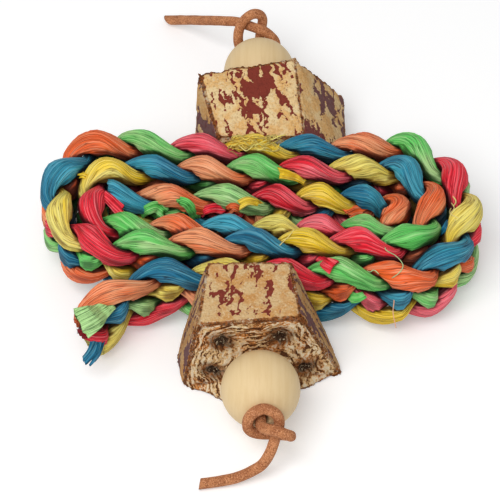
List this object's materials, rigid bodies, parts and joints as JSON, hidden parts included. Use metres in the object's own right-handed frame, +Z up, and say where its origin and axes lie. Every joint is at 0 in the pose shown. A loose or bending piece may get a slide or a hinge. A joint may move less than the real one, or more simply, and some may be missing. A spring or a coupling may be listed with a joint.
{
  "type": "plaited leaf bird toy",
  "caption": "Bird chew toy: a flat plait of dyed leaf strands wound into an oval hank on a leather lace, between bark blocks and wooden beads that turn on the lace.",
  "frame": {"origin": "under the middle of the toy, on the plane that the two bark blocks stand on; the tails of the lace are left out", "axes": "+Y along the lace from the front bead to the rear bead, +X to the right along the hank, +Z up"},
  "size_m": [0.1164, 0.1721, 0.0288],
  "materials": {
    "leaf_blue": "dyed dry leaf, folded, satin",
    "leaf_orange": "dyed dry leaf, folded, satin",
    "leaf_green": "dyed dry leaf, folded, satin",
    "leaf_red": "dyed dry leaf, folded, satin",
    "leaf_yellow": "dyed dry leaf, folded, satin",
    "bark": "sawn pine bark, raw",
    "bead_wood": "smooth pale wood, unvarnished",
    "lace_leather": "round tan leather lace, matt"
  },
  "bodies": {
    "hank_and_lace": {"strand_blue": "leaf_blue", "strand_orange": "leaf_orange", "strand_green": "leaf_green", "strand_red": "leaf_red", "strand_yellow": "leaf_yellow", "lace_core": "lace_leather", "front_lace_end": "lace_leather", "rear_lace_end": "lace_leather"},
    "front_block_body": {"front_block": "bark"},
    "rear_block_body": {"rear_block": "bark"},
    "front_bead_body": {"front_bead": "bead_wood"},
    "rear_bead_body": {"rear_bead": "bead_wood"}
  },
  "joints": [
    {"name": "front_block_turn", "type": "hinge", "parent": "hank_and_lace", "child": "front_block_body", "pos_m": [0, -0.04, 0.0145], "axis": [0, 1, 0], "continuous": true},
    {"name": "rear_block_turn", "type": "hinge", "parent": "hank_and_lace", "child": "rear_block_body", "pos_m": [0, 0.04, 0.0145], "axis": [0, 1, 0], "continuous": true},
    {"name": "front_bead_turn", "type": "hinge", "parent": "hank_and_lace", "child": "front_bead_body", "pos_m": [0, -0.057, 0.0145], "axis": [0, 1, 0], "continuous": true},
    {"name": "rear_bead_turn", "type": "hinge", "parent": "hank_and_lace", "child": "rear_bead_body", "pos_m": [0, 0.057, 0.0145], "axis": [0, 1, 0], "continuous": true}
  ]
}
